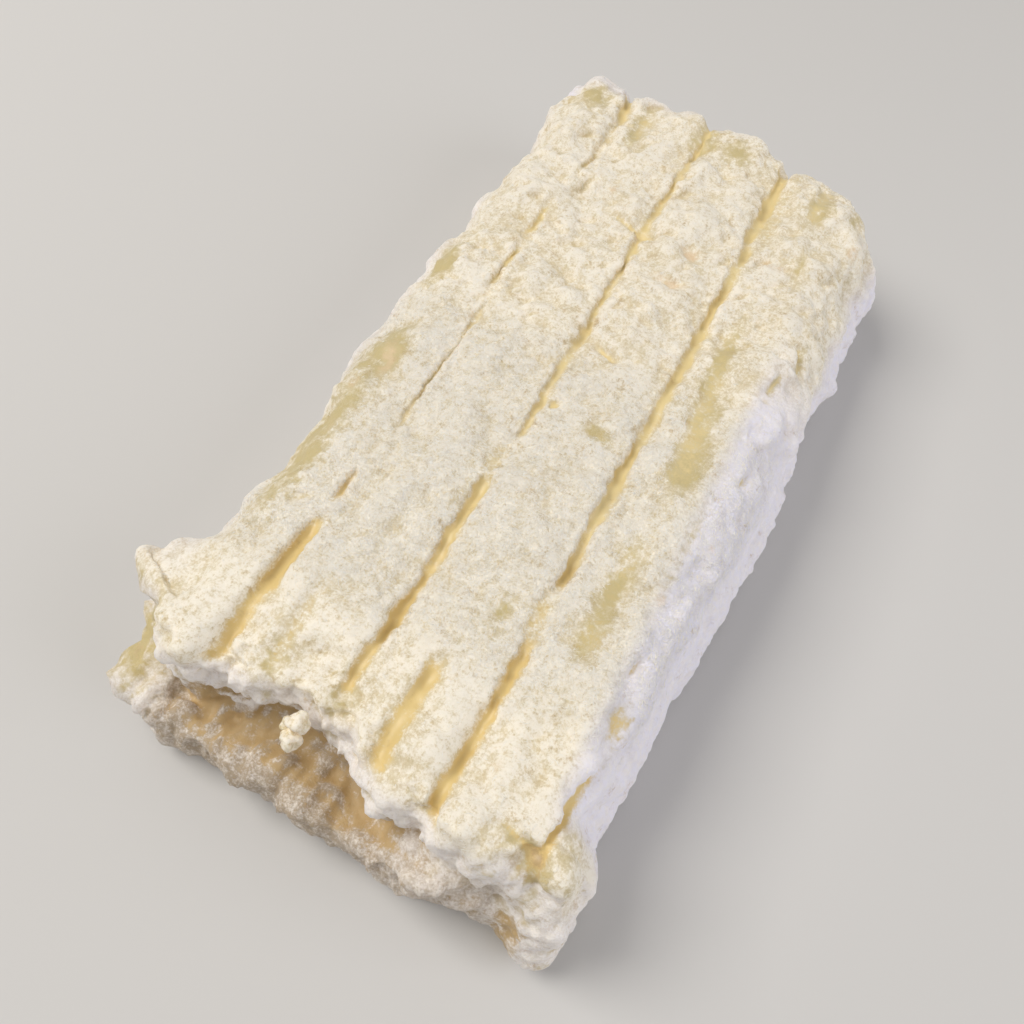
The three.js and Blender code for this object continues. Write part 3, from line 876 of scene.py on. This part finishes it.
def brick_mesh(brick):
    """The rind: the formed brick, then soft lumps, bulges, scoops, creases, folds, dents and the felt's
    thickness along its normals, with the fields that its finish reads."""
    mesh, formed, top, clear, bare = formed_mesh(brick)
    normals = vertex_normals(mesh)
    x, y, z = formed.T
    dents = DENT_SHARE * brick.dents(formed) * top
    torn = balls(formed, BARE_SPOTS)
    smooth = np.minimum(1.15 * bare, 1) * top
    bare = np.clip(np.maximum(smooth, 0.75 * smoothstep(dents, 0.3, 0.7) * top) + torn, 0, 1)
    butter, blush = (brick.patches(formed, kind) for kind in ("butter", "blush"))
    near = 1 - smoothstep(y, *NEAR_ZONE)
    middle = smoothstep(y, *MIDDLE_STARTS) * (1 - smoothstep(y, *MIDDLE_ENDS))
    far = smoothstep(y, *FAR_ZONE)
    front = np.clip(near * (smoothstep(-normals[:, 1], *FRONT_FACING) + 1 - smoothstep(z, *FRONT_TOP)), 0, 1)
    soft = rough_noise(formed / SOFT_SIZE, 71, 2)
    grain = rough_noise(formed / GRAIN_SIZE, 75, 2)
    bulge = soft_noise(formed / BULGE_SIZE, 79)
    knobs = rough_noise(formed / KNOB_SIZE, 83, 2)
    cos, sin = SCOOP_WAY
    turned = np.stack([cos * x + sin * y, cos * y - sin * x, z], axis=-1)
    scoops = smoothstep(soft_noise(turned / SCOOP_SIZE, 61), 0.25, 0.7) * top * (0.35 + 0.65 * far)
    creases = np.abs(soft_noise(formed / CREASE_SIZE + 0.4 * soft[:, None], 91)) - 0.3
    folds = soft_noise(formed / FOLD_SIZE, 101) * top * (1 - 0.6 * far)
    # Mask of the slab front's dark grey-beige, partly painted shade.
    crust = crust_and_shade_share(x, z, near * front)
    slab = 1 - 0.7 * crust * (1 - smoothstep(z, *SLAB_FOOT))
    cover = 0.7 + 0.3 * rough_noise(formed / COVER_SIZE, 95, 2)
    cover += 0.3 * rough_noise(formed / FLECK_SIZE, 98, 2) + 0.35 * soft + 0.3 * grain + 0.3 * folds
    cover += 0.3 * near * bulge - 0.15 * far
    thick = smoothstep(cover - butter - 1.4 * bare - 0.5 * scoops - 0.6 * dents, -0.1, 1.0)

    along, level = TONGUE_CALM
    tongue = bell(y, *along) * bell(z, *level) * smoothstep(-x, *TONGUE_CALM_SIDE)
    calm = (1 - 0.9 * smooth) * (1 - 0.3 * butter) * (1 - 0.85 * tongue)
    relief = brick.soft_height * (1 + 0.8 * far) * soft + (0.1 + 0.08 * front) * grain
    steady = 1 - 0.65 * near * smoothstep(x, *STEADY_CORNER)
    knobby = (1.1 + 0.5 * smoothstep(-x, *LEFT_KNOBS)) * front * steady
    relief += brick.bulge_height * near * slab * (bulge + knobby * knobs)
    relief += (0.2 + 0.4 * smoothstep(x, *FLANK_CREASES) * steady) * (1 - top) * creases
    relief += FOLD_HEIGHT * folds + brick.bloom_depth * thick - SCOOP_DEPTH * scoops
    finished = formed + normals * (clear * (calm * relief - dents))[:, None]
    finished[:, 2] = np.maximum(finished[:, 2], 0)
    set_points(mesh, finished)

    toe = bell(x, *TOE) * near * (1 - smoothstep(z, *TOE_TOP)) * (1 - smoothstep(y, *TOE_BACK))
    along, level = FAR_SHOULDER
    far_shoulder = smoothstep(y, *along) * smoothstep(z, *level)
    flank = smoothstep(x, *FLANK_SIDE) * smoothstep(y, *FLANK_START) * (1 - far_shoulder)
    # Where the walls take the whitish felt with its lavender painted cool light.
    sides = flank + 0.7 * smoothstep(-x, *LEFT_WALL) * (1 - near) + 0.6 * smoothstep(y, *FAR_WALL)
    # The brown under the lip is kept to the low spots between the knobs, as painted shade, and the knobs stay
    # pale.
    gutter = brick.gutter(formed) * smoothstep(-knobs, -0.6, 0.0)
    fields = {
        "bare": bare,
        "butter": butter,
        "blush": blush,
        # Scoops, dents and the low spots between the knobs of the near front: their yellow and warm tint is
        # partly thinner bloom, partly painted shade.
        "hollow": np.clip(0.8 * scoops + 1.2 * dents + front * smoothstep(-knobs, 0.0, 0.5), 0, 1),
        "thick": thick,
        "felt": top * (1 - bare) * (1 - butter) * np.maximum(middle, 0.12 * near + 0.3 * far),
        "gold": smoothstep(-y, *GOLD_ZONE),
        "brown": np.maximum(gutter, np.maximum(toe, 0.75 * torn)),
        "crust": crust,
        # Whitish felt with lavender painted cool light: on the walls, and half as much on the near end's
        # front.
        "frost": np.clip(sides + 0.5 * front * (1 - top), 0, 1),
    }
    set_fields(mesh, fields)
    return mesh


def rind_material(look):
    """White bloom over yellow paste: thin in patches, yellower and warmer in hollows, partly as thinner bloom
    and partly as painted shade, gone from the groove floors, and fibrous where the felt is thick."""
    finish = Finish("bloomy_rind")
    place = finish.place()
    names = ("bare", "butter", "blush", "hollow", "thick", "felt", "gold", "brown", "crust", "frost")
    bare, butter, blush, hollow, thick, felt, gold, brown, crust, frost = map(finish.attribute, names)
    tints = ("bloom", "cream", "butter", "blush", "ochre", "gold", "brown", "crust", "frost", "thread")
    colour = {name: (*getattr(look, name), 1.0) for name in tints}

    clouds = finish.mottle(place, 6.0, detail=2.0) - 0.5
    grains = finish.mottle(place, 1.0, detail=3.0, roughness=0.65) - 0.5
    fuzz = finish.mottle(place, 0.32, detail=2.0, roughness=0.7) - 0.5
    threads = 1 - finish.ramp(abs(finish.mottle(place, 0.7, detail=1.0, distortion=2.2) - 0.5), 0.0, 0.05)

    worn = 0.75 - 0.55 * thick + 2.0 * grains + 0.5 * clouds + 2.2 * fuzz
    thin = finish.ramp(worn, 0.0, 1.1)
    skin = finish.mix(thin, colour["bloom"], colour["cream"])
    # Walls turn whitish lavender: partly the bloom's own felt, partly painted cool light.
    skin = finish.mix(frost * (0.85 + 1.4 * grains), skin, colour["frost"])
    # Hollows turn yellower here and warmer below: partly thinner bloom, partly painted shade.
    yellow = finish.ramp(butter + 0.4 * hollow + 1.4 * grains + 0.5 * clouds, 0.15, 0.95)
    skin = finish.mix(yellow, skin, colour["butter"])
    skin = finish.mix(finish.ramp(blush + 0.35 * hollow + 1.2 * grains, 0.25, 1.3), skin, colour["blush"])
    skin = finish.mix(felt * threads * 0.6, skin, colour["thread"])
    # Noise lets the pale bloom show through in specks: painted glints on the slab's rim.
    skin = finish.mix(crust * (0.85 + 2.0 * grains + 1.6 * fuzz), skin, colour["crust"])
    floor = finish.mix(gold, colour["ochre"], colour["gold"])
    skin = finish.mix(finish.ramp(bare + 1.0 * grains + 0.5 * fuzz, 0.25, 0.9), skin, floor)
    # Mottled brown under the lip: partly the paste's own colour, partly painted shade.
    brown_blotches = finish.mottle(place, 2.6, detail=1.0)
    brown_and_shade = finish.ramp(brown + 1.4 * grains + 0.8 * fuzz + 1.2 * brown_blotches - 0.6, 0.15, 1.0)
    skin = finish.mix(brown_and_shade, skin, colour["brown"])
    waxy = finish.ramp(bare + 0.5 * butter + 0.6 * brown, 0.2, 1.0)
    roughness = look.bloom_roughness + waxy * (look.paste_roughness - look.bloom_roughness)

    nap = (1 - 0.9 * waxy) * (0.5 * fuzz + 0.6 * grains + felt * (0.2 * fuzz + 0.25 * threads))
    bump = finish.node("ShaderNodeBump", None, {"Strength": 0.8, "Distance": 0.3 * MM, "Height": nap})
    surface = finish.node("ShaderNodeBsdfPrincipled", {"subsurface_method": "BURLEY"}, {
        "Base Color": skin, "Roughness": roughness, "Normal": bump, "IOR": 1.42,
        "Subsurface Weight": 0.4, "Subsurface Radius": (1.0, 0.75, 0.45), "Subsurface Scale": 1.5 * MM,
        "Sheen Weight": 0.12, "Sheen Roughness": 0.5})
    finish.node("ShaderNodeOutputMaterial", None, {"Surface": surface})
    return finish.material


def face_array(mesh, name, width, kind=np.float32):
    values = np.empty(width * len(mesh.polygons), kind)
    mesh.polygons.foreach_get(name, values)
    return values.reshape(-1, width) if width > 1 else values


def strewn(draw, rind, share, count):
    """Places and normals of count faces of the rind, drawn by their area and share."""
    weight = face_array(rind, "area", 1) * share
    chosen = draw.choice(len(weight), count, p=weight / weight.sum())
    return (face_array(rind, name, 3)[chosen].astype(float) for name in ("center", "normal"))


def repeated(shape, step, count):
    """Faces of one shape, again for each of count copies whose points follow on by step."""
    return (step * np.arange(count)[:, None, None] + np.array(shape)).reshape(-1, len(shape[0])).tolist()


def thread_mesh(rind):
    """Threads of bloom strewn over the felt. Each is a three-sided spindle with a point at both ends,
    on an arc that bows sideways and up between them."""
    draw = np.random.default_rng(THREAD_SEED)
    felt, thick = np.empty((2, len(rind.vertices)), np.float32)
    rind.attributes["felt"].data.foreach_get("value", felt)
    rind.attributes["thick"].data.foreach_get("value", thick)
    corners = np.empty(len(rind.loops), np.int32)
    rind.loops.foreach_get("vertex_index", corners)
    share = (felt * thick)[corners[face_array(rind, "loop_start", 1, np.int32)]]
    middle, up = strewn(draw, rind, share, THREADS)

    turn = draw.uniform(0, 2 * math.pi, (THREADS, 1))
    level = np.cross(up, [0.0, 1.0, 0.0])
    level /= np.linalg.norm(level, axis=1, keepdims=True)
    along = np.cos(turn) * level + np.sin(turn) * np.cross(up, level)
    side = np.cross(up, along)
    length = draw.uniform(*THREAD_LENGTHS, (THREADS, 1)) * MM
    bow = draw.uniform(-THREAD_BOW, THREAD_BOW, (THREADS, 1)) * length

    def station(share):
        arch = 4 * share * (1 - share)
        rise = (THREAD_LIFT * arch - THREAD_SINK) * MM
        return middle + along * (share - 0.5) * length + side * bow * arch + up * rise

    angles = np.arange(3) * 2 * math.pi / 3
    ring = [THREAD_RADIUS * MM * (math.cos(angle) * side + math.sin(angle) * up) for angle in angles]
    stations = [station(0.0), *(station(1 / 3) + spoke for spoke in ring),
                *(station(2 / 3) + spoke for spoke in ring), station(1.0)]
    ends = [(0, 2, 1), (0, 3, 2), (0, 1, 3), (7, 4, 5), (7, 5, 6), (7, 6, 4)]
    sides = [(1, 2, 5, 4), (2, 3, 6, 5), (3, 1, 4, 6)]
    faces = repeated(ends, len(stations), THREADS) + repeated(sides, len(stations), THREADS)
    return smooth_mesh("bloom_threads", np.stack(stations, axis=1), faces)


def crumb_mesh():
    """The crumb: balls drawn out to their half sizes, then pushed out and in along their radii by noise
    of two sizes."""
    centre, half, yellow = (np.array(column, float) for column in zip(*LOBES))
    polar = np.arange(1, LOBE_RINGS + 1)[:, None] * math.pi / (LOBE_RINGS + 1)
    around = np.arange(LOBE_TURNS) * 2 * math.pi / LOBE_TURNS
    belt = np.stack([np.sin(polar) * np.cos(around), np.sin(polar) * np.sin(around),
                     np.cos(polar) + 0 * around], axis=-1).reshape(-1, 3)
    ways = np.concatenate([belt, [(0, 0, 1), (0, 0, -1)]])
    spots = centre[:, None, :] + half[:, None, :] * ways
    uneven = sum(height * soft_noise(spots.reshape(-1, 3) / size, 87) for height, size in LOBE_LUMPS)
    points = (spots - CENTRE + uneven.reshape(len(LOBES), -1, 1) * ways) * MM

    turn, last = np.arange(LOBE_TURNS), LOBE_TURNS * (LOBE_RINGS - 1)
    after = np.roll(turn, -1)
    ring = LOBE_TURNS * np.arange(LOBE_RINGS - 1)[:, None]
    lower = ring + LOBE_TURNS
    quads = np.stack([ring + turn, lower + turn, lower + after, ring + after], axis=-1)
    caps = np.concatenate([np.stack([turn, after, 0 * turn + len(belt)], axis=-1),
                           np.stack([last + after, last + turn, 0 * turn + len(belt) + 1], axis=-1)])
    faces = repeated(quads.reshape(-1, 4), len(ways), len(LOBES)) + repeated(caps, len(ways), len(LOBES))
    mesh = smooth_mesh("curd_crumb", points, faces)
    set_fields(mesh, {"thick": np.clip(0.6 + uneven, 0, 1), "butter": np.repeat(yellow, len(ways))})
    return mesh


def thread_material(look):
    """Downy white, a little creamier in clouds."""
    finish = Finish("bloom_thread")
    clouds = finish.ramp(finish.mottle(finish.place(), 2.0, detail=3.0), 0.35, 0.75)
    skin = finish.mix(clouds, (*look.thread, 1.0), (*look.bloom, 1.0))
    surface = finish.node("ShaderNodeBsdfPrincipled", None, {
        "Base Color": skin, "Roughness": 0.8, "Sheen Weight": 0.3, "Sheen Roughness": 0.5})
    finish.node("ShaderNodeOutputMaterial", None, {"Surface": surface})
    return finish.material


def add_piece(mesh, material):
    """Links a finished mesh as a piece of the object, riding on its one body."""
    piece = bpy.data.objects.new(mesh.name, mesh)
    bpy.context.scene.collection.objects.link(piece)
    mesh.materials.append(material)
    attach(piece, BODY)
    return piece


class CHEESE_OT_brick(bpy.types.Operator):
    """Builds the brick's rind in place of its plain solid"""

    bl_idname = "cheese.brick"
    bl_label = "Brick"

    def execute(self, context):
        mesh = brick_mesh(Brick(context.scene.cheese_sizes))
        piece = add_piece(mesh, rind_material(context.scene.cheese_finish))
        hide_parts(BRICK_NODE)
        return {"FINISHED"}


class CHEESE_OT_threads(bpy.types.Operator):
    """Strews loose threads of bloom over the felted top"""

    bl_idname = "cheese.threads"
    bl_label = "Threads of bloom"

    def execute(self, context):
        mesh = thread_mesh(bpy.data.meshes["cheese_rind"])
        add_piece(mesh, thread_material(context.scene.cheese_finish))
        return {"FINISHED"}


class CHEESE_OT_crumb(bpy.types.Operator):
    """Hangs a crumb of curd from the lip"""

    bl_idname = "cheese.crumb"
    bl_label = "Crumb of curd"

    def execute(self, context):
        add_piece(crumb_mesh(), bpy.data.materials["bloomy_rind"])
        return {"FINISHED"}


def area_light(name, place, size, power, colour):
    """A square soft light at place, facing the brick."""
    light = bpy.data.lights.new(name, "AREA")
    light.energy, light.size, light.color = power, size, colour
    lamp = bpy.data.objects.new(name, light)
    lamp.location = place
    lamp.rotation_euler = (-Vector(place)).to_track_quat("-Z", "Y").to_euler()
    bpy.context.scene.collection.objects.link(lamp)


class CHEESE_OT_stage(bpy.types.Operator):
    """Lays the pale floor and sets the soft lights and the camera"""

    bl_idname = "cheese.stage"
    bl_label = "Stage"

    def execute(self, context):
        scene, stage = context.scene, context.scene.cheese_stage
        mesh = bpy.data.meshes.new("floor")
        corners = [(FLOOR_REACH * x, FLOOR_REACH * y, 0) for x, y in ((-1, -1), (1, -1), (1, 1), (-1, 1))]
        mesh.from_pydata(corners, [], [(0, 1, 2, 3)])
        finish = Finish("pale_floor")
        surface = finish.node("ShaderNodeBsdfPrincipled", None,
                              {"Base Color": (*stage.floor, 1.0), "Roughness": 0.8})
        finish.node("ShaderNodeOutputMaterial", None, {"Surface": surface})
        mesh.materials.append(finish.material)
        floor = bpy.data.objects.new("floor", mesh)
        scene.collection.objects.link(floor)

        area_light("key", KEY_PLACE, KEY_SIZE, stage.key_power, KEY_COLOUR)
        area_light("fill", FILL_PLACE, FILL_SIZE, stage.fill_power, FILL_COLOUR)
        world = bpy.data.worlds.new("studio")
        world.use_nodes = True
        background = world.node_tree.nodes["Background"]
        background.inputs["Color"].default_value = SKY_COLOUR
        background.inputs["Strength"].default_value = stage.sky_strength
        scene.world = world
        scene.view_settings.view_transform = "Standard"

        camera = bpy.data.objects.new("camera", bpy.data.cameras.new("camera"))
        camera.data.lens = stage.lens
        camera.data.clip_start = CLIP_START
        camera.matrix_world = (Matrix.Translation(stage.camera_place)
                               @ Matrix.Rotation(stage.heading, 4, "Z")
                               @ Matrix.Rotation(math.pi / 2 - stage.elevation, 4, "X")
                               @ Matrix.Rotation(stage.roll, 4, "Z"))
        scene.collection.objects.link(camera)
        scene.camera = camera
        return {"FINISHED"}


class CHEESE_PT_sidebar(bpy.types.Panel):
    """Lists the steps and their settings"""

    bl_label = "Cheese brick"
    bl_space_type = "VIEW_3D"
    bl_region_type = "UI"
    bl_category = "Cheese"

    def draw(self, context):
        for operator in OPERATORS:
            self.layout.operator(operator.bl_idname)
        for name in SETTINGS:
            box = self.layout.box()
            group = getattr(context.scene, name)
            for setting in group.__annotations__:
                box.prop(group, setting)


OPERATORS = (CHEESE_OT_brick, CHEESE_OT_threads, CHEESE_OT_crumb, CHEESE_OT_stage)
SETTINGS = {"cheese_sizes": BrickSizes, "cheese_finish": RindFinish, "cheese_stage": StageSettings}
CLASSES = (*SETTINGS.values(), *OPERATORS, CHEESE_PT_sidebar)


def register():
    for cls in CLASSES:
        bpy.utils.register_class(cls)
    for name, group in SETTINGS.items():
        setattr(bpy.types.Scene, name, PointerProperty(type=group))


def unregister():
    for name in SETTINGS:
        delattr(bpy.types.Scene, name)
    for cls in reversed(CLASSES):
        bpy.utils.unregister_class(cls)


def main():
    register()
    bpy.ops.cheese.brick()
    bpy.ops.cheese.threads()
    bpy.ops.cheese.crumb()
    bpy.ops.cheese.stage()


if __name__ == "__main__":
    main()
